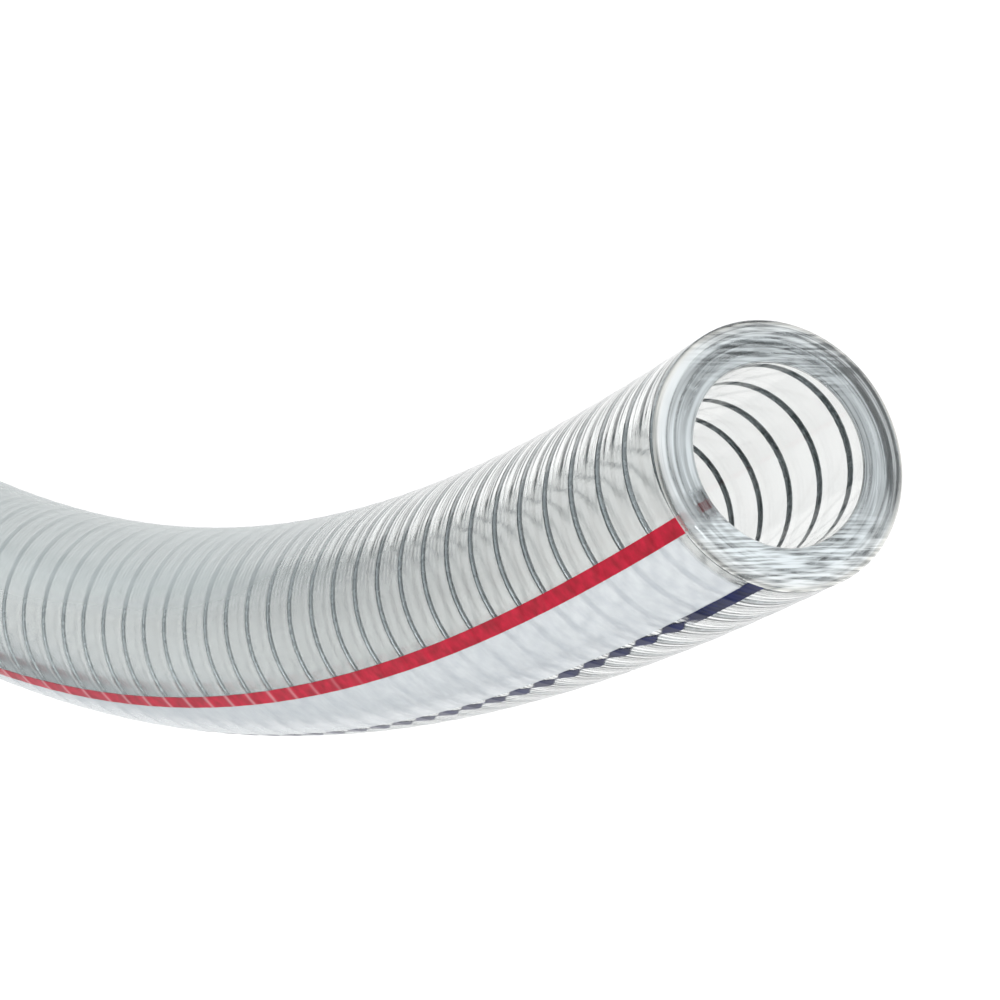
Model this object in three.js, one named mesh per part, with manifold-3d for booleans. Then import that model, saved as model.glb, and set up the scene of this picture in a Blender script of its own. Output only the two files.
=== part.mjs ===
// Clear flexible PVC pressure hose: a thick round wall with a steel wire helix inside it and
// three coloured stripes laid into its outside. A half-metre piece, cut square at both ends and
// lying flat on a level floor in a half turn, so that both cut faces look along -X.
import * as THREE from 'three';
import { mergeVertices } from 'three/addons/utils/BufferGeometryUtils.js';
import Module from 'manifold-3d';

const wasm = await Module();
wasm.setup();

// Wall, in millimetres
const BORE_DIAMETER = 15;
const WALL_THICKNESS = 3.5;
const HOSE_LENGTH = 500;

// Wire helix: its centre line lies WIRE_DEPTH under the outside
const WIRE_DIAMETER = 0.8;
const WIRE_DEPTH = 1.4;
const WIRE_PITCH = 4.929;
const WIRE_CLEARANCE = 0.15;
const WIRE_END_SETBACK = 0.6;
const WIRE_HAND = 1;
const WIRE_START_ANGLE = THREE.MathUtils.degToRad(40);

// Stripes side by side round the outside, in the order red, band, navy
const RED_WIDTH = 1.47;
const BAND_WIDTH = 6.39;
const NAVY_WIDTH = 1.34;
const STRIPE_THICKNESS = 0.4;
const STRIPE_CLEARANCE = 0.2;
const RED_EDGE_ANGLE = THREE.MathUtils.degToRad(92.55);
const STRIPE_TWIST = -0.00204;

// Bend of the centre line in plan, as curvature against the distance s from the first cut end.
// Up to BEND_START it follows three terms, then it eases over BEND_EASE into one even bend that
// brings the far end round by TOTAL_TURN.
const CURVATURE_TERMS = [-1.253767e-3, -2.46301e-5, 1.956114e-8];
const BEND_START = 170;
const BEND_EASE = 60;
const TOTAL_TURN = -Math.PI;

// Facets
const OUTSIDE_SIDES = 20;
const BORE_SIDES = 16;
const BAND_FACETS = 3;
const HOSE_STEPS = 36;
const STEPS_PER_COIL = 8;
const WIRE_SIDES = 4;
const CENTRE_STEP = 0.5;

const boreRadius = BORE_DIAMETER / 2;
const outsideRadius = boreRadius + WALL_THICKNESS;
const wireRadius = outsideRadius - WIRE_DEPTH;
const grooveRadius = outsideRadius - STRIPE_THICKNESS - STRIPE_CLEARANCE;

// Heading of the centre line, from +X towards +Y
const termsTurn = (s) => CURVATURE_TERMS.reduce((sum, k, i) => sum + (k * s ** (i + 1)) / (i + 1), 0);
const startCurvature = CURVATURE_TERMS.reduce((sum, k, i) => sum + k * BEND_START ** i, 0);
const evenLength = HOSE_LENGTH - BEND_START - BEND_EASE;
const evenCurvature = (TOTAL_TURN - termsTurn(BEND_START) - (startCurvature * BEND_EASE) / 2)
  / (BEND_EASE / 2 + evenLength);

function heading(s) {
  const along = THREE.MathUtils.clamp(s, 0, HOSE_LENGTH);
  if (along <= BEND_START) return termsTurn(along);
  const eased = Math.min(along - BEND_START, BEND_EASE);
  const easeTurn = startCurvature * eased
    + ((evenCurvature - startCurvature) * eased ** 2) / (2 * BEND_EASE);
  const even = Math.max(along - BEND_START - BEND_EASE, 0);
  return termsTurn(BEND_START) + easeTurn + evenCurvature * even;
}

const centreTable = [new THREE.Vector3()];
for (let s = 0; s < HOSE_LENGTH; s += CENTRE_STEP) {
  const turn = heading(s + CENTRE_STEP / 2);
  const last = centreTable[centreTable.length - 1];
  centreTable.push(last.clone().add(new THREE.Vector3(Math.cos(turn), Math.sin(turn), 0)
    .multiplyScalar(CENTRE_STEP)));
}

function centrePoint(s) {
  const along = THREE.MathUtils.clamp(s, 0, HOSE_LENGTH);
  const cell = Math.min(Math.floor(along / CENTRE_STEP), centreTable.length - 2);
  const point = centreTable[cell].clone()
    .lerp(centreTable[cell + 1], along / CENTRE_STEP - cell);
  const beyond = s - along;
  const turn = heading(s);
  return point.add(new THREE.Vector3(Math.cos(turn), Math.sin(turn), 0).multiplyScalar(beyond));
}

// Unit vector across the hose at distance s and angle a, from the level side towards the top
function across(s, a) {
  const turn = heading(s);
  return new THREE.Vector3(-Math.sin(turn) * Math.cos(a), Math.cos(turn) * Math.cos(a), Math.sin(a));
}

// A path with its own frames: a section's x runs along outward, its y along tangent x outward
class FramedPath extends THREE.Curve {
  constructor(from, to, pointAt, outwardAt) {
    super();
    this.at = (t) => from + (to - from) * t;
    this.pointAt = pointAt;
    this.outwardAt = outwardAt;
  }

  getPoint(t) {
    return this.pointAt(this.at(t));
  }

  getSpacedPoints(steps) {
    return Array.from({ length: steps + 1 }, (_, i) => this.getPoint(i / steps));
  }

  computeFrenetFrames(steps) {
    const frames = { tangents: [], normals: [], binormals: [] };
    const span = this.at(1) - this.at(0);
    for (let i = 0; i <= steps; i += 1) {
      const u = this.at(i / steps);
      const tangent = this.pointAt(u + span * 1e-5).sub(this.pointAt(u - span * 1e-5)).normalize();
      const normal = this.outwardAt(u).addScaledVector(tangent, -this.outwardAt(u).dot(tangent));
      normal.normalize();
      frames.tangents.push(tangent);
      frames.normals.push(normal);
      frames.binormals.push(tangent.clone().cross(normal));
    }
    return frames;
  }
}

// The hose's own path turns its section with the stripes
const hosePath = new FramedPath(0, HOSE_LENGTH, centrePoint, (s) => across(s, STRIPE_TWIST * s));

const ring = (radius, angle) => new THREE.Vector2(radius * Math.cos(angle), radius * Math.sin(angle));
const spread = (from, to, count) => Array.from({ length: count + 1 },
  (_, i) => from + ((to - from) * i) / count);

function extrudeAlong(shape, path, steps) {
  return new THREE.ExtrudeGeometry(shape, { steps, extrudePath: path, bevelEnabled: false });
}

// Angles of the stripes' edges, falling from the red line's upper edge
const redLow = RED_EDGE_ANGLE - RED_WIDTH / outsideRadius;
const bandLow = redLow - BAND_WIDTH / outsideRadius;
const navyLow = bandLow - NAVY_WIDTH / outsideRadius;

function wallShape() {
  const outside = spread(RED_EDGE_ANGLE, navyLow + 2 * Math.PI, OUTSIDE_SIDES)
    .map((a) => ring(outsideRadius, a));
  const floorAngles = [navyLow, ...spread(bandLow, redLow, BAND_FACETS), RED_EDGE_ANGLE];
  const groove = floorAngles.map((a) => ring(grooveRadius, a));
  const shape = new THREE.Shape([...outside, ...groove]);
  const bore = spread(0, 2 * Math.PI, BORE_SIDES).slice(0, -1).map((a) => ring(boreRadius, a));
  shape.holes.push(new THREE.Path(bore));
  return shape;
}

function stripeShape(low, high, facets) {
  const gap = STRIPE_CLEARANCE / 2 / outsideRadius;
  const from = low + (low === navyLow ? 2 * gap : gap);
  const to = high - (high === RED_EDGE_ANGLE ? 2 * gap : gap);
  const angles = spread(from, to, facets);
  const outer = angles.map((a) => ring(outsideRadius, a));
  const inner = angles.map((a) => ring(grooveRadius + STRIPE_CLEARANCE, a)).reverse();
  return new THREE.Shape([...outer, ...inner]);
}

// Helix: one turn every WIRE_PITCH, counted against the stripes' slow twist
const helixAngle = (s) => WIRE_START_ANGLE + STRIPE_TWIST * s + (WIRE_HAND * 2 * Math.PI * s) / WIRE_PITCH;
const helixOutward = (s) => across(s, helixAngle(s));
const helixPoint = (s) => centrePoint(s).addScaledVector(helixOutward(s), wireRadius);

// A square section whose area is the round wire's, and the same one with the clearance round it
function helixSweep(clearance, from, to) {
  const halfSide = (Math.sqrt(Math.PI) * WIRE_DIAMETER) / 4 + clearance;
  const corner = halfSide / Math.cos(Math.PI / WIRE_SIDES);
  const section = spread(0, 2 * Math.PI, WIRE_SIDES).slice(0, -1)
    .map((a) => ring(corner, a + Math.PI / WIRE_SIDES));
  const steps = Math.round(((to - from) / WIRE_PITCH) * STEPS_PER_COIL);
  return extrudeAlong(new THREE.Shape(section), new FramedPath(from, to, helixPoint, helixOutward), steps);
}

function solidFrom(geometry) {
  const bare = geometry.clone();
  bare.deleteAttribute('normal');
  bare.deleteAttribute('uv');
  const merged = mergeVertices(bare, 1e-4);
  return new wasm.Manifold(new wasm.Mesh({
    numProp: 3,
    vertProperties: new Float32Array(merged.attributes.position.array),
    triVerts: new Uint32Array(merged.index.array),
  }));
}

function geometryFrom(solid) {
  const mesh = solid.getMesh();
  const geometry = new THREE.BufferGeometry();
  geometry.setAttribute('position', new THREE.BufferAttribute(new Float32Array(mesh.vertProperties), 3));
  geometry.setIndex(new THREE.BufferAttribute(new Uint32Array(mesh.triVerts), 1));
  geometry.computeVertexNormals();
  return geometry;
}

// The wire's channel follows whole steps of the helix and runs out through both cut faces
const coilStep = WIRE_PITCH / STEPS_PER_COIL;
const channelOut = Math.ceil((WIRE_DIAMETER + 2 * WIRE_CLEARANCE) / coilStep) * coilStep;
const channelEnd = Math.ceil(HOSE_LENGTH / coilStep) * coilStep + channelOut;
const wireStart = Math.ceil(WIRE_END_SETBACK / coilStep) * coilStep;
const wireEnd = Math.floor((HOSE_LENGTH - WIRE_END_SETBACK) / coilStep) * coilStep;

const solidWall = solidFrom(extrudeAlong(wallShape(), hosePath, HOSE_STEPS));
const channel = solidFrom(helixSweep(WIRE_CLEARANCE, -channelOut, channelEnd));
const wallGeometry = geometryFrom(solidWall.subtract(channel));
const wireGeometry = helixSweep(0, wireStart, wireEnd);

const clear = new THREE.MeshStandardMaterial({
  color: 0xd3dad8, roughness: 0.15, metalness: 0, transparent: true, opacity: 0.45,
});
const steel = new THREE.MeshStandardMaterial({ color: 0x7d8386, roughness: 0.35, metalness: 1 });
const red = new THREE.MeshStandardMaterial({ color: 0xc81e3c, roughness: 0.25, metalness: 0 });
const milky = new THREE.MeshStandardMaterial({ color: 0xdfe4ee, roughness: 0.25, metalness: 0 });
const navy = new THREE.MeshStandardMaterial({ color: 0x1e2355, roughness: 0.25, metalness: 0 });

const hose = new THREE.Group();

function addPiece(name, geometry, material) {
  const piece = new THREE.Mesh(geometry, material);
  piece.name = name;
  hose.add(piece);
}

addPiece('hose_wall', wallGeometry, clear);
addPiece('wire_helix', wireGeometry, steel);
addPiece('red_stripe', extrudeAlong(stripeShape(redLow, RED_EDGE_ANGLE, 1), hosePath, HOSE_STEPS), red);
addPiece('white_band', extrudeAlong(stripeShape(bandLow, redLow, BAND_FACETS), hosePath, HOSE_STEPS), milky);
addPiece('navy_stripe', extrudeAlong(stripeShape(navyLow, bandLow, 1), hosePath, HOSE_STEPS), navy);

// The origin is on the floor, under the middle of the piece as it lies
const box = new THREE.Box3().setFromObject(hose);
const middle = box.getCenter(new THREE.Vector3());
hose.position.set(-middle.x, -middle.y, -box.min.z);

export default hose;
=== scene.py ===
"""Clear PVC pressure hose with a steel wire wound inside its wall and three stripes along it."""
import math

import bmesh
import bpy
import numpy as np
from mathutils import Matrix, Vector


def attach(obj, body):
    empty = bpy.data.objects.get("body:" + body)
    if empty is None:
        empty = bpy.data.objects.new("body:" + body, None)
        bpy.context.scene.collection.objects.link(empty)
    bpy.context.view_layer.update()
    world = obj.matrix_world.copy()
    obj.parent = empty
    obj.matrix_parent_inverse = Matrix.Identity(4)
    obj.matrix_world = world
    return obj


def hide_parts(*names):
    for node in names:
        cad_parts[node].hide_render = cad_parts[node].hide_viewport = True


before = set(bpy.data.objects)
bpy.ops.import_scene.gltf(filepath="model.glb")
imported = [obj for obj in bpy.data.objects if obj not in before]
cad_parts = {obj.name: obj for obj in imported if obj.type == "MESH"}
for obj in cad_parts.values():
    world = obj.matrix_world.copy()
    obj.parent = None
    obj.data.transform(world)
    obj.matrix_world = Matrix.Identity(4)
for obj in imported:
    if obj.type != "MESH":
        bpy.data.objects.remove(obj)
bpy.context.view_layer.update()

# Section of the hose, metres
BORE_RADIUS = 0.0075
OUTSIDE_RADIUS = 0.011
HOSE_LENGTH = 0.5
EDGE_ROUND = 0.00015
RIPPLE_DEPTH = 0.000025
WALL_COLUMNS = 96
RINGS_PER_COIL = 8
BORE_RING_STEP = 0.0036

# Wire helix
WIRE_RADIUS = 0.0004
WIRE_RING_RADIUS = 0.0096
WIRE_PITCH = 0.004929
WIRE_HAND = 1
WIRE_START_ANGLE = math.radians(40)
WIRE_SETBACK = 0.0005
WIRE_SIDES = 8
POINTS_PER_COIL = 48

# Stripes: angles are measured from the level side of the hose towards the top
RED_EDGE_ANGLE = math.radians(92.55)
RED_WIDTH = 0.00147
BAND_WIDTH = 0.00639
NAVY_WIDTH = 0.00134
STRIPE_TWIST = -2.04
STRIPE_PROUD = 0.00002
STRIPE_THICKNESS = 0.00035
STRIPE_COLUMN = 0.0005
BAND_EDGE_ANGLE = RED_EDGE_ANGLE - RED_WIDTH / OUTSIDE_RADIUS
NAVY_EDGE_ANGLE = BAND_EDGE_ANGLE - BAND_WIDTH / OUTSIDE_RADIUS

# Relief of the outside: ridges over the coils and fine rings between them, metres
RIDGE_HEIGHT = 0.000008
RIDGE_HEIGHT_HANDLED = 0.000022
RIDGE_SHARPNESS = 9.0
FINE_RINGS = 6.0
RING_HEIGHT = 0.000001
RING_HEIGHT_INNER = 0.000013
RING_HEIGHT_OUTER = 0.000024
STRIPE_RIDGE_HEIGHT = 0.00002
STRIPE_RING_HEIGHT = 0.000003

# Zones along the hose: where each starts and is full, metres from the near cut
# The first two zones set where the outside grows rougher and where the painted softbox reflection is
# laid on
HANDLED_AND_GLARE = (0.035, 0.10)
SCUFFED_AND_GLARE = (0.055, 0.10)
CLEAR_AGAIN = (0.20, 0.26)
BAND_END = (0.0014, 0.0020)
NAVY_THINS = (0.010, 0.013)
# Where the painted highlights over the coils on the red line start and are full
RED_GLINTS = (0.060, 0.085)

# Zones round the hose: the middle, how far each reaches and how far it is full, degrees
INNER_SIDE = (168, 45, 22)
OUTER_SIDE = (24, 32, 18)
# Where round the hose the extra roughness and the painted reflection are strongest
SCUFFED_AND_GLARE_SIDE = (190, 66, 44)
BY_RED = (90, 11, 6)
BY_BAND = (80, 45, 25)
CUT_LOWER_SIDE = (30, 62, 25)
CUT_UPPER_SIDE = (215, 53, 18)
# Angle round the cut face where the painted light from above is strongest
CUT_PAINTED_LIGHT_MIDDLE = 80

# Clear soft PVC
PVC_IOR = 1.53
OUTSIDE_TINT = (0.94, 0.955, 0.945)
BORE_TINT = (0.86, 0.86, 0.85)
CUT_TINT = (0.96, 0.975, 0.98)
# Pale colour of a layer painted in as a softbox's broad reflection over the far stretch
PAINTED_GLARE_COLOUR = (0.66, 0.71, 0.71)

# Colours of the rest: a pair is the darkest and the lightest, and a row is places with colours
RED_COLOURS = ((0.24, 0.001, 0.011), (0.46, 0.004, 0.028))
MILKY_COLOURS = ((0.65, 0.67, 0.70), (0.78, 0.79, 0.81))
NAVY_COLOURS = ((0.002, 0.004, 0.026), (0.007, 0.011, 0.065))
# Colour of the painted highlights over the coils on the red line
PAINTED_GLINT_COLOUR = (0.80, 0.70, 0.72)
HAZE_COLOURS = ((0.0, (0.90, 0.88, 0.83)), (0.12, (0.93, 0.95, 0.95)), (0.5, (0.82, 0.87, 0.89)))
# The steel's own dark grey; the lighter stops are a painted highlight along two sides of the wire
STEEL_AND_HIGHLIGHT_COLOURS = ((0.1, (0.06, 0.075, 0.08)), (0.5, (0.23, 0.26, 0.27)), (0.9, (0.50, 0.54, 0.56)))
ROOM_COLOURS = ((0.0, (0.46, 0.49, 0.51)), (0.30, (0.52, 0.56, 0.58)), (0.75, (0.85, 0.90, 0.92)))

# Noise along the die's lines, cycles per metre and round the hose, and the span that sharpens noise
DIE_LINES = (12.0, 160.0)
NOISE_SPAN = (0.38, 0.62)

# Route of the centre line: curvature per metre against the distance from the near cut face
CURVATURE_TERMS = (-1.253767, -24.6301, 19.56114)
BEND_START = 0.17
BEND_EASE = 0.06
TOTAL_TURN = -math.pi
ROUTE_STEP = 0.0005
ROUTE_CELLS = round(HOSE_LENGTH / ROUTE_STEP)

# Where the middle of the near cut face lies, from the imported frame
NEAR_FACE = np.array((-0.12204205, 0.13517074, OUTSIDE_RADIUS))

# The photograph's camera, from the near cut face
CAMERA_FROM_FACE = np.array((-0.21294626, -0.00862162, 0.13857808))
CAMERA_RIGHT = (-0.40070, 0.54155, -0.73903)
CAMERA_DOWN = (0.25883, 0.84067, 0.47569)
CAMERA_LENS = 117.49


def terms_turn(s):
    """Turn of the centre line by the three curvature terms alone."""
    return sum(k * s ** (i + 1) / (i + 1) for i, k in enumerate(CURVATURE_TERMS))


START_CURVATURE = sum(k * BEND_START**i for i, k in enumerate(CURVATURE_TERMS))
EVEN_CURVATURE = (TOTAL_TURN - terms_turn(BEND_START) - START_CURVATURE * BEND_EASE / 2) / (
    HOSE_LENGTH - BEND_START - BEND_EASE / 2
)


def heading(s):
    """Heading of the centre line at distance s, from +X towards +Y."""
    s = np.clip(s, 0, HOSE_LENGTH)
    eased = np.clip(s - BEND_START, 0, BEND_EASE)
    even = np.clip(s - BEND_START - BEND_EASE, 0, None)
    turn = terms_turn(np.minimum(s, BEND_START))
    turn = turn + START_CURVATURE * eased
    turn = turn + (EVEN_CURVATURE - START_CURVATURE) * eased**2 / (2 * BEND_EASE)
    return turn + EVEN_CURVATURE * even


ROUTE_S = np.linspace(0, HOSE_LENGTH, ROUTE_CELLS + 1)
ROUTE_MID = heading((ROUTE_S[1:] + ROUTE_S[:-1]) / 2)
ROUTE_XY = np.vstack(
    (
        np.zeros((1, 2)),
        np.cumsum(np.column_stack((np.cos(ROUTE_MID), np.sin(ROUTE_MID))) * ROUTE_STEP, axis=0),
    )
)


def centre_points(s):
    """Points of the centre line at the distances s."""
    x = np.interp(s, ROUTE_S, ROUTE_XY[:, 0])
    y = np.interp(s, ROUTE_S, ROUTE_XY[:, 1])
    return NEAR_FACE + np.column_stack((x, y, np.zeros_like(x)))


def section_points(s, radius, angles):
    """A ring of points round the hose for each s, as an array of len(s) x len(angles) x 3."""
    s = np.asarray(s, float)
    turn = heading(s)
    side = np.column_stack((-np.sin(turn), np.cos(turn), np.zeros_like(turn)))
    angles = np.broadcast_to(angles, (len(s), np.shape(angles)[-1]))
    radius = np.broadcast_to(radius, angles.shape)[..., None]
    up = np.array((0.0, 0.0, 1.0))
    out = np.cos(angles)[..., None] * side[:, None, :] + np.sin(angles)[..., None] * up
    return centre_points(s)[:, None, :] + radius * out


def outside_radius(s, angles):
    """Radius of the outside: it stands highest over the wire and sinks a little between the coils."""
    wire_angle = WIRE_START_ANGLE + (WIRE_HAND * 2 * math.pi / WIRE_PITCH + STRIPE_TWIST) * s
    return OUTSIDE_RADIUS - RIPPLE_DEPTH * (0.5 - 0.5 * np.cos(angles - wire_angle[:, None]))


def rings_along(step):
    """Distances of the rings along the hose, with two more close behind each cut edge."""
    count = round((HOSE_LENGTH - 6 * EDGE_ROUND) / step)
    even = np.linspace(3 * EDGE_ROUND, HOSE_LENGTH - 3 * EDGE_ROUND, count + 1)
    near = EDGE_ROUND * np.array((1.0, 2.0))
    return np.concatenate((near, even, HOSE_LENGTH - near[::-1]))


# Making things


def add_object(name, data):
    """A new object in the scene, at the origin."""
    thing = bpy.data.objects.new(name, data)
    bpy.context.scene.collection.objects.link(thing)
    return thing


def grid_mesh(name, points, along, angles, closed_rows):
    """A closed shell from a grid of rings: points is rows x columns x 3, columns always close.

    The UV map "along" holds the distance along the surface and the share of a turn round the hose;
    angles has one column more than points, for the corner where the ring closes.
    """
    rows, columns = points.shape[:2]
    turns = np.broadcast_to(angles, (rows, columns + 1)) / (2 * math.pi)
    last = rows if closed_rows else rows - 1
    r, c = np.meshgrid(np.arange(last), np.arange(columns), indexing="ij")
    r1 = (r + 1) % rows
    c1 = (c + 1) % columns
    quads = np.stack((r * columns + c, r1 * columns + c, r1 * columns + c1, r * columns + c1), -1)
    mesh = bpy.data.meshes.new(name)
    faces = quads.reshape(-1, 4).tolist()
    if not closed_rows:
        faces.append(list(range(columns)))
        faces.append(list(range((rows - 1) * columns, rows * columns))[::-1])
    mesh.from_pydata(points.reshape(-1, 3).tolist(), [], faces)
    layer = mesh.uv_layers.new(name="along")
    flat = np.zeros((len(mesh.loops), 2))
    wrap = np.stack((c, c, c + 1, c + 1), -1).reshape(-1, 4)
    rows_of = np.stack((r, r1, r1, r), -1).reshape(-1, 4)
    flat[: wrap.size, 0] = along[rows_of.ravel()]
    flat[: wrap.size, 1] = turns[rows_of.ravel(), wrap.ravel()]
    layer.data.foreach_set("uv", flat.ravel())
    work = bmesh.new()
    work.from_mesh(mesh)
    bmesh.ops.recalc_face_normals(work, faces=work.faces)
    work.to_mesh(mesh)
    work.free()
    mesh.shade_smooth()
    return mesh


# Shader and node maths


class Sock:
    """A node socket that adds Math nodes to its tree when it is used in an expression."""

    def __init__(self, tree, socket):
        self.tree = tree
        self.socket = socket

    def math(self, operation, *values):
        return self.tree.node("ShaderNodeMath", {"operation": operation}, dict(enumerate(values)))

    def __add__(self, other):
        return self.math("ADD", self, other)

    __radd__ = __add__

    def __sub__(self, other):
        return self.math("SUBTRACT", self, other)

    def __rsub__(self, other):
        return self.math("SUBTRACT", other, self)

    def __mul__(self, other):
        return self.math("MULTIPLY", self, other)

    __rmul__ = __mul__

    def __truediv__(self, other):
        return self.math("DIVIDE", self, other)

    def __pow__(self, other):
        return self.math("POWER", self, other)


class Tree:
    """A node tree to which nodes are added by type, settings and socket values."""

    def __init__(self, nodes_and_links):
        self.tree = nodes_and_links

    def node(self, kind, settings=None, inputs=None, output=0):
        made = self.tree.nodes.new(kind)
        for key, value in (settings or {}).items():
            if key == "stops":
                elements = made.color_ramp.elements
                while len(elements) < len(value):
                    elements.new(0.5)
                for element, (place, colour) in zip(elements, value):
                    element.position = place
                    element.color = colour
            else:
                setattr(made, key, value)
        for key, value in (inputs or {}).items():
            if isinstance(value, Sock):
                self.tree.links.new(value.socket, made.inputs[key])
            else:
                made.inputs[key].default_value = value
        return Sock(self, made.outputs[output]) if len(made.outputs) else made


def new_finish(name):
    """A material with an empty tree."""
    finish = bpy.data.materials.new(name)
    finish.use_nodes = True
    finish.node_tree.nodes.clear()
    return finish, Tree(finish.node_tree)


def surface_place(tree):
    """How far along the surface's profile a point lies, in metres, and its angle round the hose."""
    uv = tree.node("ShaderNodeUVMap", {"uv_map": "along"})
    parts = tree.node("ShaderNodeSeparateXYZ", {}, {"Vector": uv})
    angle = Sock(tree, parts.socket.node.outputs[1]) * (2 * math.pi)
    return parts, angle


def streaks(tree, along, round_about, detail=3.0):
    """Noise with so many cycles per metre along the hose and so many round it, without a seam."""
    far, angle = surface_place(tree)
    spread = round_about / (2 * math.pi)
    place = tree.node(
        "ShaderNodeCombineXYZ", {},
        {
            "X": angle.math("COSINE", angle) * spread, "Y": angle.math("SINE", angle) * spread,
            "Z": far * along,
        },
    )
    return tree.node(
        "ShaderNodeTexNoise", {}, {"Vector": place, "Scale": 1.0, "Detail": detail, "Roughness": 0.55}
    )


def ramp(tree, share, *stops):
    """Colours blended by a share of 0 to 1: each stop is a place and a colour."""
    stops = [(place, (*colour, 1.0)) for place, colour in stops]
    return tree.node("ShaderNodeValToRGB", {"stops": stops}, {"Fac": share})


def plain_shader(tree, inputs):
    """A Principled shader with these inputs."""
    return tree.node("ShaderNodeBsdfPrincipled", {}, inputs)


def soft_pvc(tree, colour, roughness, bump):
    """Clear soft PVC, which light passes through."""
    return plain_shader(
        tree,
        {
            "Base Color": (*colour, 1.0), "Roughness": roughness, "IOR": PVC_IOR,
            "Transmission Weight": 1.0, "Normal": bump,
        },
    )


def show(tree, shader, second=None, share=None):
    """Ends a material in one shader, or in a share of the second mixed into the first."""
    if second:
        shader = tree.node("ShaderNodeMixShader", {}, {0: share, 1: shader, 2: second})
    tree.node("ShaderNodeOutputMaterial", {}, {"Surface": shader})


def relief_of(tree, distance, height):
    """A bump as high as distance, in metres, where height is 1."""
    return tree.node("ShaderNodeBump", {}, {"Distance": distance, "Height": height})


def over_the_coils(tree, waver):
    """Phase of the winding at a point of the outside, and a swell of 0 to 1 over each coil."""
    far, angle = surface_place(tree)
    phase = far * (2 * math.pi * WIRE_HAND / WIRE_PITCH + STRIPE_TWIST) - angle + WIRE_START_ANGLE
    return phase, phase.math("COSINE", phase + waver) * 0.5 + 0.5


def coil_relief(tree, ridge, ripple):
    """Relief of the outside in metres: a low ridge over each coil, and fine rings between them."""
    rings = streaks(tree, 640.0, 3.0, 2.0)
    phase, swell = over_the_coils(tree, rings * 0.6)
    fine = phase.math("COSINE", phase * FINE_RINGS + rings * 5.0)
    height = swell ** RIDGE_SHARPNESS * ridge + (fine * 0.5 + rings) * ripple
    return relief_of(tree, 1.0, height)


def between(tree, value, start, end):
    """A share that grows from 0 at start to 1 at end."""
    return tree.node("ShaderNodeMapRange", {}, {0: value, 1: start, 2: end, 3: 0.0, 4: 1.0})


def near_angle(tree, angle, middle, reach, full):
    """A mask round the hose: 1 within full degrees of the middle, and 0 beyond its reach."""
    turned = angle - math.radians(middle)
    return between(
        tree, turned.math("COSINE", turned), math.cos(math.radians(reach)), math.cos(math.radians(full))
    )


def outside_pvc():
    """The outside: glossy near the fresh cut and rougher farther along, with a pale dull layer mixed in
    farther along as a painted reflection of a broad softbox, most of all on the bend's inner side.
    """
    finish, tree = new_finish("outside_pvc")
    far, angle = surface_place(tree)
    lines = streaks(tree, *DIE_LINES)
    patches = streaks(tree, 120.0, 14.0)
    inner_side = near_angle(tree, angle, *INNER_SIDE)
    outer_side = near_angle(tree, angle, *OUTER_SIDE)
    handled_and_glare = between(tree, far, *HANDLED_AND_GLARE)
    scuffed_and_glare = between(tree, far, *SCUFFED_AND_GLARE) * near_angle(tree, angle, *SCUFFED_AND_GLARE_SIDE)
    scuffed_and_glare = scuffed_and_glare * (1.0 - between(tree, far, *CLEAR_AGAIN))
    roughness = handled_and_glare * 0.08 + scuffed_and_glare * 0.10 + lines * 0.03 + (0.09 - inner_side * 0.05)
    rings = inner_side * RING_HEIGHT_INNER + outer_side * RING_HEIGHT_OUTER + RING_HEIGHT
    relief = coil_relief(tree, handled_and_glare * RIDGE_HEIGHT_HANDLED + RIDGE_HEIGHT, rings)
    clear = soft_pvc(tree, OUTSIDE_TINT, roughness, relief)
    painted_glare = plain_shader(
        tree, {"Base Color": (*PAINTED_GLARE_COLOUR, 1.0), "Roughness": 0.45, "Normal": relief}
    )
    # Painted reflection: the pale dull layer stands in for a softbox's broad glare over the far
    # stretch; roughness and relief above are the rubbing
    haze = handled_and_glare * 0.16 + scuffed_and_glare * 0.42 + (patches - 0.5) * handled_and_glare * 0.2
    show(tree, clear, painted_glare, haze)
    return finish


def bore_pvc():
    """The bore: smoother than the outside, with only the lines that the die drew along it."""
    finish, tree = new_finish("bore_pvc")
    lines = streaks(tree, *DIE_LINES)
    relief = relief_of(tree, 0.000005, lines)
    show(tree, soft_pvc(tree, BORE_TINT, 0.04 + lines * 0.03, relief))
    return finish


def knife_strokes(tree):
    """Fine straight marks of the knife, from -0.5 to 0.5, all drawn one way over a cut face."""
    place = tree.node("ShaderNodeTexCoord", output=3)
    parts = tree.node("ShaderNodeSeparateXYZ", {}, {"Vector": place}).socket.node.outputs
    y, z = Sock(tree, parts[1]), Sock(tree, parts[2])
    across = (y * 0.87 + z * 0.49) * 3600.0
    along = (y * 0.49 - z * 0.87) * 260.0
    place = tree.node("ShaderNodeCombineXYZ", {}, {"X": across, "Y": along})
    strokes = tree.node("ShaderNodeTexNoise", {}, {"Vector": place, "Scale": 1.0, "Detail": 2.0})
    return between(tree, strokes, *NOISE_SPAN) - 0.5


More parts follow.
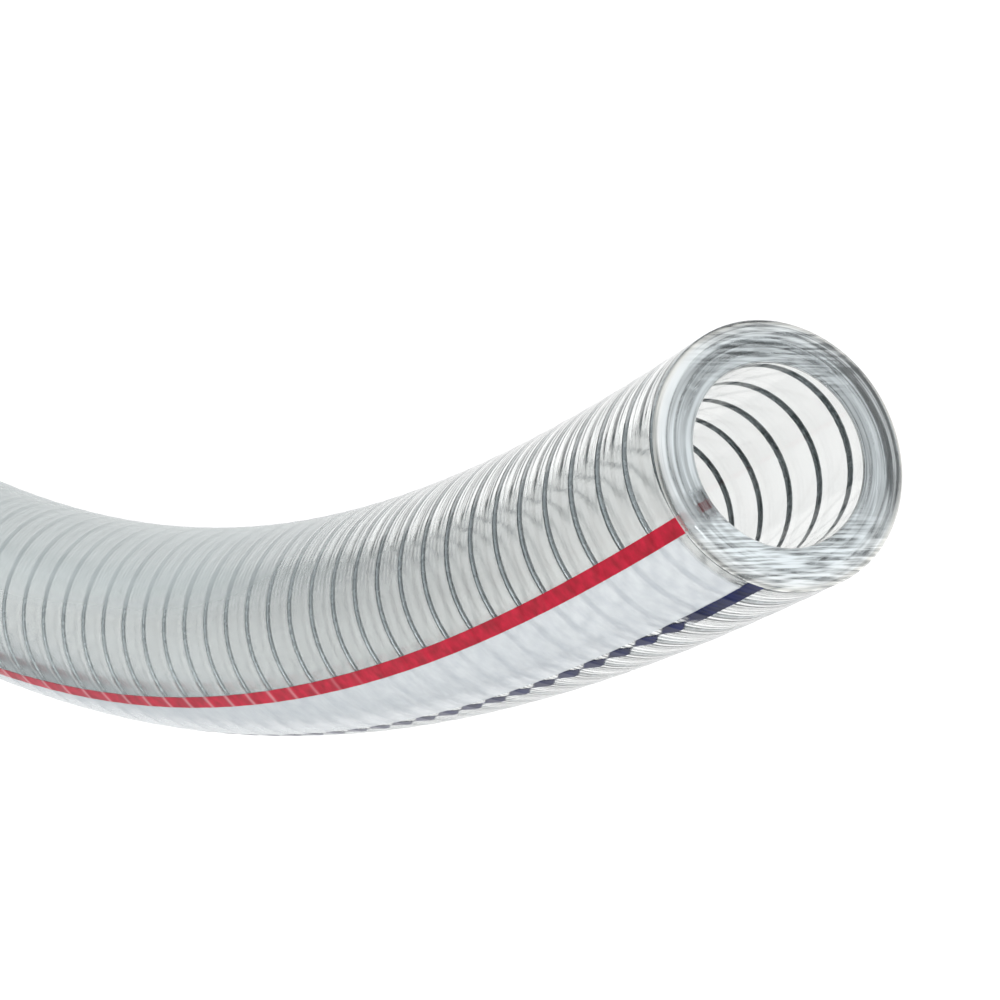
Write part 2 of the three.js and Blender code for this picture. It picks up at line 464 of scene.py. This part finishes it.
def cut_pvc():
    """Where the knife went through: hazy arcs that follow the section, and clear plastic between; the
    haze is laid on thicker towards the top of the hose as painted light from above.
    """
    finish, tree = new_finish("cut_pvc")
    far, angle = surface_place(tree)
    inwards = tree.node("ShaderNodeMath", {"operation": "PINGPONG"}, {0: far, 1: HOSE_LENGTH / 2})
    inwards = between(tree, inwards, 0.0, OUTSIDE_RADIUS - BORE_RADIUS)
    by_red = near_angle(tree, angle, *BY_RED)
    by_band = near_angle(tree, angle, *BY_BAND) * (1.0 - between(tree, inwards, 0.0, 0.3))
    lower_side = near_angle(tree, angle, *CUT_LOWER_SIDE)
    upper_side = near_angle(tree, angle, *CUT_UPPER_SIDE)
    arcs = streaks(tree, 2600.0, 4.0, 2.0)
    broad = streaks(tree, 500.0, 9.0, 2.0)
    height = (arcs + broad * 0.6) * (1.0 - by_red * 0.85)
    relief = relief_of(tree, 0.00004, height)
    clear = soft_pvc(tree, CUT_TINT, 0.03 + arcs * 0.06, relief)
    colour = ramp(tree, inwards, *HAZE_COLOURS)
    haze = plain_shader(tree, {"Base Color": colour, "Roughness": 0.35, "Normal": relief})
    # Painted light: the haze is thicker, so the face is lighter, towards the top, as if lit from above
    # through the wall
    turned = angle - math.radians(CUT_PAINTED_LIGHT_MIDDLE)
    haze_and_painted_light = turned.math("COSINE", turned) * 0.18 + 0.44 + (broad - 0.5) * 0.8 + lower_side * 0.14
    sharp = between(tree, arcs, *NOISE_SPAN) - 0.5
    marks = sharp * (0.75 - inwards * 0.45) * (1.0 - lower_side * 0.5)
    marks = marks + knife_strokes(tree) * (lower_side + upper_side * 0.5)
    opened = between(tree, inwards, 0.45, 0.6) * 0.6 + between(tree, arcs, 0.45, 0.6) * 0.4
    cover = (haze_and_painted_light + marks) * (1.0 - by_red * opened) * (1.0 - by_band * 0.6)
    show(tree, clear, haze, cover)
    return finish


def drawn_steel():
    """Hard-drawn steel wire with a painted highlight: lighter along two opposite sides, darker between
    them.
    """
    finish, tree = new_finish("drawn_steel")
    place = tree.node("ShaderNodeTexCoord", output=3)
    marks = tree.node("ShaderNodeTexNoise", {}, {"Vector": place, "Scale": 1400.0, "Detail": 3.0})
    # Painted highlight: the stored share lightens two opposite sides of the wire
    painted_highlight_share = tree.node("ShaderNodeAttribute", {"attribute_name": "bright_side"}, output=2)
    colour = ramp(tree, painted_highlight_share + (marks - 0.5) * 0.3, *STEEL_AND_HIGHLIGHT_COLOURS)
    roughness = 0.2 + marks * 0.14
    show(tree, plain_shader(tree, {"Base Color": colour, "Metallic": 0.6, "Roughness": roughness}))
    return finish


def stripe_plastic(name, colours, shine, cover=None, pale=None):
    """Coloured PVC of a stripe, a little uneven.

    cover makes the mask of where it hides what is under it, and pale the mask of its painted
    highlights.
    """
    finish, tree = new_finish(name)
    uneven = streaks(tree, 700.0, 50.0)
    colour = ramp(tree, uneven, (0.3, colours[0]), (0.7, colours[1]))
    # Painted highlights: the pale mask blends a light colour into the stripe
    if pale:
        colour = tree.node(
            "ShaderNodeMix", {"data_type": "RGBA"},
            {0: pale(tree, uneven), 6: colour, 7: (*PAINTED_GLINT_COLOUR, 1.0)}, output=2,
        )
    shader = plain_shader(
        tree,
        {
            "Base Color": colour, "Roughness": 0.12 + uneven * 0.1, "Specular IOR Level": shine,
            "Alpha": cover(tree, uneven) if cover else 1.0,
            "Normal": coil_relief(tree, STRIPE_RIDGE_HEIGHT, STRIPE_RING_HEIGHT),
        },
    )
    show(tree, shader)
    return finish


def red_painted_glints(tree, uneven):
    """Painted highlight on the red line: a narrow pale cross-line over each coil, farther along the
    hose, standing in for light glancing off the ridge over the wire.
    """
    far, _ = surface_place(tree)
    _, swell = over_the_coils(tree, uneven * 0.4)
    return swell ** 20.0 * (between(tree, far, *RED_GLINTS) * 0.24)


def band_cover(tree, uneven):
    """The milky band hides half of what is under it, and stops a little short of the near cut."""
    far, _ = surface_place(tree)
    return between(tree, far + uneven * 0.0004, *BAND_END) * 0.5


def navy_cover(tree, uneven):
    """The navy line is whole near the cut, then narrows to a thread between the coils."""
    far, angle = surface_place(tree)
    _, swell = over_the_coils(tree, uneven * 0.5)
    half_width = NAVY_WIDTH / OUTSIDE_RADIUS / 2
    across = (angle - (NAVY_EDGE_ANGLE - half_width) - far * STRIPE_TWIST) * (1 / half_width)
    past_edge = across.math("ABSOLUTE", across) - swell - 0.06
    return 1.0 - between(tree, past_edge, -0.15, 0.15) * between(tree, far, *NAVY_THINS)


def white_floor():
    """Plain white floor, lit evenly from within so that it has no edge and no shadow."""
    finish, tree = new_finish("white_floor")
    shader = plain_shader(
        tree,
        {
            "Base Color": (0.1, 0.1, 0.1, 1.0), "Roughness": 0.9,
            "Emission Color": (1.0, 1.0, 1.0, 1.0), "Emission Strength": 1.0,
        },
    )
    show(tree, shader)
    return finish


# Camera, light and floor


def place_camera():
    """The photograph's view: a long lens, rolled far over."""
    lens = bpy.data.cameras.new("camera")
    lens.lens = CAMERA_LENS
    lens.sensor_width = 36.0
    lens.clip_start = 0.01
    camera = add_object("camera", lens)
    right = Vector(CAMERA_RIGHT).normalized()
    up = -Vector(CAMERA_DOWN)
    up = (up - right * up.dot(right)).normalized()
    back = right.cross(up)
    turn = Matrix((right, up, back)).transposed().to_4x4()
    camera.matrix_world = Matrix.Translation(Vector(NEAR_FACE + CAMERA_FROM_FACE)) @ turn
    bpy.context.scene.camera = camera


def soft_light(name, place, target, size, power):
    """A square softbox that looks at a point."""
    lamp = bpy.data.lights.new(name, "AREA")
    lamp.shape = "SQUARE"
    lamp.size = size
    lamp.energy = power
    box = add_object(name, lamp)
    box.location = place
    box.rotation_euler = (Vector(target) - Vector(place)).to_track_quat("-Z", "Y").to_euler()


def studio_walls():
    """The room round the floor: bright ceiling cloth, darker walls low down."""
    world = bpy.data.worlds.new("studio_walls")
    world.use_nodes = True
    world.node_tree.nodes.clear()
    tree = Tree(world.node_tree)
    way = tree.node("ShaderNodeTexCoord", output=0)
    parts = tree.node("ShaderNodeSeparateXYZ", {}, {"Vector": way})
    height = Sock(tree, parts.socket.node.outputs[2])
    colour = ramp(tree, height, *ROOM_COLOURS)
    glow = tree.node("ShaderNodeBackground", {}, {"Color": colour, "Strength": 1.0})
    tree.node("ShaderNodeOutputWorld", {}, {"Surface": glow})
    return world


def build_studio():
    """White floor, the room round it and two softboxes."""
    mesh = bpy.data.meshes.new("floor")
    half = 3.0
    corners = [(-half, -half, 0), (half, -half, 0), (half, half, 0), (-half, half, 0)]
    mesh.from_pydata(corners, [], [(0, 1, 2, 3)])
    floor = add_object("floor", mesh)
    mesh.materials.append(white_floor())
    bpy.context.scene.world = studio_walls()
    face = tuple(NEAR_FACE)
    soft_light("overhead", (face[0] + 0.1, face[1] + 0.1, 0.9), face, size=0.5, power=4.0)
    soft_light("left", (face[0] - 0.3, face[1] + 0.7, 0.5), face, size=0.4, power=2.5)
    bpy.context.scene.view_settings.view_transform = "Standard"
    bpy.context.scene.cycles.max_bounces = 24
    bpy.context.scene.cycles.transmission_bounces = 24


# The hose


def hose_wall():
    """Thick round wall: outside, far cut face, bore and near cut face in one closed grid."""
    around = np.linspace(0, 2 * math.pi, WALL_COLUMNS, endpoint=False)
    outer_s = rings_along(WIRE_PITCH / RINGS_PER_COIL)
    bore_s = rings_along(BORE_RING_STEP)[::-1]
    outer = outside_radius(outer_s, around)
    share = np.array((0.0, 0.05, 0.3, 0.5, 0.7, 0.95, 1.0))[:, None]
    far_face = (outer[-1:] - EDGE_ROUND) * (1 - share) + (BORE_RADIUS + EDGE_ROUND) * share
    near_face = (outer[:1] - EDGE_ROUND) * share + (BORE_RADIUS + EDGE_ROUND) * (1 - share)
    s = np.concatenate((outer_s, np.full(len(share), HOSE_LENGTH), bore_s, np.zeros(len(share))))
    inwards = (OUTSIDE_RADIUS - BORE_RADIUS) * share[:, 0]
    along = np.concatenate((outer_s, HOSE_LENGTH + inwards, bore_s, -inwards[::-1]))
    bore = np.full((len(bore_s), WALL_COLUMNS), BORE_RADIUS)
    points = section_points(s, np.concatenate((outer, far_face, bore, near_face)), around)
    turn = np.linspace(0, 2 * math.pi, WALL_COLUMNS + 1)
    mesh = grid_mesh("clear_hose_wall", points, along, turn, True)
    for finish in (outside_pvc(), cut_pvc(), bore_pvc()):
        mesh.materials.append(finish)
    row_of = np.repeat(np.arange(len(s)), WALL_COLUMNS)
    far_start = len(outer_s)
    near_start = len(s) - len(share)
    cut = (row_of >= far_start - 1) & (row_of < far_start + len(share))
    cut |= row_of >= near_start - 1
    inside = (row_of >= far_start + len(share)) & (row_of < near_start - 1)
    mesh.polygons.foreach_set("material_index", (cut * 1 + inside * 2).astype(int))
    return add_object("clear_hose_wall", mesh)


def stripe(name, high, width, finish):
    """A thin strip in the outside of the wall, following the stripes' slow twist."""
    long_way = rings_along(WIRE_PITCH / RINGS_PER_COIL)
    count = max(3, round(width / STRIPE_COLUMN))
    angles = high - np.linspace(0, width, count) / OUTSIDE_RADIUS
    turned = angles[None, :] + STRIPE_TWIST * long_way[:, None]
    outer = outside_radius(long_way, turned) + STRIPE_PROUD
    inner = outer - STRIPE_THICKNESS
    top = section_points(long_way, outer, turned)
    bottom = section_points(long_way, inner[:, ::-1], turned[:, ::-1])
    points = np.concatenate((top, bottom), axis=1)
    turned = np.hstack((turned, turned[:, ::-1], turned[:, :1]))
    mesh = grid_mesh(name, points, long_way, turned, False)
    mesh.set_sharp_from_angle(angle=math.radians(40))
    mesh.materials.append(finish)
    return add_object(name, mesh)


def winding_tree():
    """Geometry nodes: winds a round wire about a centre line."""
    group = bpy.data.node_groups.new("wire_winding", "GeometryNodeTree")
    face = group.interface
    face.new_socket("Centre line", in_out="INPUT", socket_type="NodeSocketGeometry")
    for name in ("Ring radius", "Wire radius", "Pitch", "Hand", "Start angle", "Twist", "Setback"):
        face.new_socket(name, in_out="INPUT", socket_type="NodeSocketFloat")
    for name in ("Points", "Wire sides"):
        face.new_socket(name, in_out="INPUT", socket_type="NodeSocketInt")
    face.new_socket("Finish", in_out="INPUT", socket_type="NodeSocketMaterial")
    face.new_socket("Wire", in_out="OUTPUT", socket_type="NodeSocketGeometry")
    tree = Tree(group)
    entry = group.nodes.new("NodeGroupInput")
    given = {socket.name: Sock(tree, socket) for socket in entry.outputs}
    whole = tree.node("GeometryNodeCurveLength", {}, {"Curve": given["Centre line"]})
    trimmed = tree.node(
        "GeometryNodeTrimCurve", {"mode": "LENGTH"},
        {"Curve": given["Centre line"], 4: given["Setback"], 5: whole - given["Setback"]},
    )
    line = tree.node(
        "GeometryNodeResampleCurve", {"mode": "COUNT"},
        {"Curve": trimmed, "Count": given["Points"]},
    )
    tangent = tree.node("GeometryNodeInputTangent")
    along = tree.node("GeometryNodeSplineParameter", output=1) + given["Setback"]
    up = (0.0, 0.0, 1.0)
    side = tree.node("ShaderNodeVectorMath", {"operation": "CROSS_PRODUCT"}, {0: up, 1: tangent})
    angle = given["Start angle"] + along * given["Twist"]
    angle = angle + along / given["Pitch"] * (given["Hand"] * (2 * math.pi))
    across = angle.math("COSINE", angle) * given["Ring radius"]
    rise = angle.math("SINE", angle) * given["Ring radius"]
    sideways = tree.node("ShaderNodeVectorMath", {"operation": "SCALE"}, {0: side, "Scale": across})
    upwards = tree.node("ShaderNodeVectorMath", {"operation": "SCALE"}, {0: up, "Scale": rise})
    offset = tree.node("ShaderNodeVectorMath", {"operation": "ADD"}, {0: sideways, 1: upwards})
    helix = tree.node("GeometryNodeSetPosition", {}, {"Geometry": line, "Offset": offset})
    round_wire = tree.node(
        "GeometryNodeCurvePrimitiveCircle", {},
        {"Resolution": given["Wire sides"], "Radius": given["Wire radius"]},
    )
    swept = tree.node(
        "GeometryNodeCurveToMesh", {},
        {"Curve": helix, "Profile Curve": round_wire, "Fill Caps": True},
    )
    smooth = tree.node("GeometryNodeSetShadeSmooth", {}, {"Geometry": swept})
    real = tree.node("GeometryNodeRealizeInstances", {}, {"Geometry": smooth})
    done = tree.node("GeometryNodeSetMaterial", {}, {"Geometry": real, "Material": given["Finish"]})
    leave = group.nodes.new("NodeGroupOutput")
    group.links.new(done.socket, leave.inputs["Wire"])
    return group


def mark_painted_highlights(mesh):
    """Stores a painted highlight at each point, lighter on two opposite sides of the wire, from its
    place round the wire.
    """
    points = np.empty(len(mesh.vertices) * 3)
    mesh.vertices.foreach_get("co", points)
    rings = points.reshape(-1, WIRE_SIDES, 3)
    middle = rings.mean(axis=1)
    s = np.linspace(WIRE_SETBACK, HOSE_LENGTH - WIRE_SETBACK, len(rings))
    turn = heading(s)
    along = np.column_stack((np.cos(turn), np.sin(turn), np.zeros_like(turn)))
    outward = (middle - centre_points(s)) / WIRE_RING_RADIUS
    across = (rings - middle[:, None]) / WIRE_RADIUS
    sine_twice = 2 * (across * outward[:, None]).sum(-1) * (across * along[:, None]).sum(-1)
    layer = mesh.attributes.new("bright_side", "FLOAT", "POINT")
    layer.data.foreach_set("value", (0.5 - 0.5 * sine_twice).ravel())


def wire_helix():
    """The wire, wound by geometry nodes and made a plain mesh."""
    spine = bpy.data.curves.new("centre_line", "CURVE")
    spine.dimensions = "3D"
    line = spine.splines.new("POLY")
    points = centre_points(ROUTE_S)
    line.points.add(len(points) - 1)
    line.points.foreach_set("co", np.column_stack((points, np.ones(len(points)))).ravel())
    host = add_object("centre_line", spine)
    group = winding_tree()
    winding = host.modifiers.new("winding", "NODES")
    winding.node_group = group
    coils = HOSE_LENGTH / WIRE_PITCH
    values = {
        "Ring radius": WIRE_RING_RADIUS, "Wire radius": WIRE_RADIUS, "Pitch": WIRE_PITCH,
        "Hand": float(WIRE_HAND), "Start angle": WIRE_START_ANGLE, "Twist": STRIPE_TWIST,
        "Setback": WIRE_SETBACK, "Points": round(coils * POINTS_PER_COIL), "Wire sides": WIRE_SIDES,
        "Finish": drawn_steel(),
    }
    for item in group.interface.items_tree:
        if item.item_type == "SOCKET" and item.in_out == "INPUT" and item.name in values:
            winding[item.identifier] = values[item.name]
    host.update_tag()
    graph = bpy.context.evaluated_depsgraph_get()
    mesh = bpy.data.meshes.new_from_object(host.evaluated_get(graph))
    mesh.name = "wound_wire"
    bpy.data.objects.remove(host)
    mark_painted_highlights(mesh)
    return add_object("wound_wire", mesh)


place_camera()
wall = hose_wall()
wire = wire_helix()
red_pvc = stripe_plastic("red_pvc", RED_COLOURS, shine=0.12, pale=red_painted_glints)
milky_pvc = stripe_plastic("milky_pvc", MILKY_COLOURS, shine=0.3, cover=band_cover)
navy_pvc = stripe_plastic("navy_pvc", NAVY_COLOURS, shine=0.03, cover=navy_cover)
red = stripe("red_line", RED_EDGE_ANGLE, RED_WIDTH, red_pvc)
band = stripe("milky_band", BAND_EDGE_ANGLE, BAND_WIDTH, milky_pvc)
navy = stripe("navy_line", NAVY_EDGE_ANGLE, NAVY_WIDTH, navy_pvc)

for piece, node, slot in (
    (wall, "hose_wall", "clear_pvc"),
    (wire, "wire_helix", "steel_wire"),
    (red, "red_stripe", "red_pvc"),
    (band, "white_band", "milky_pvc"),
    (navy, "navy_stripe", "navy_pvc"),
):
    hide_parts(node)
    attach(piece, "root")

build_studio()
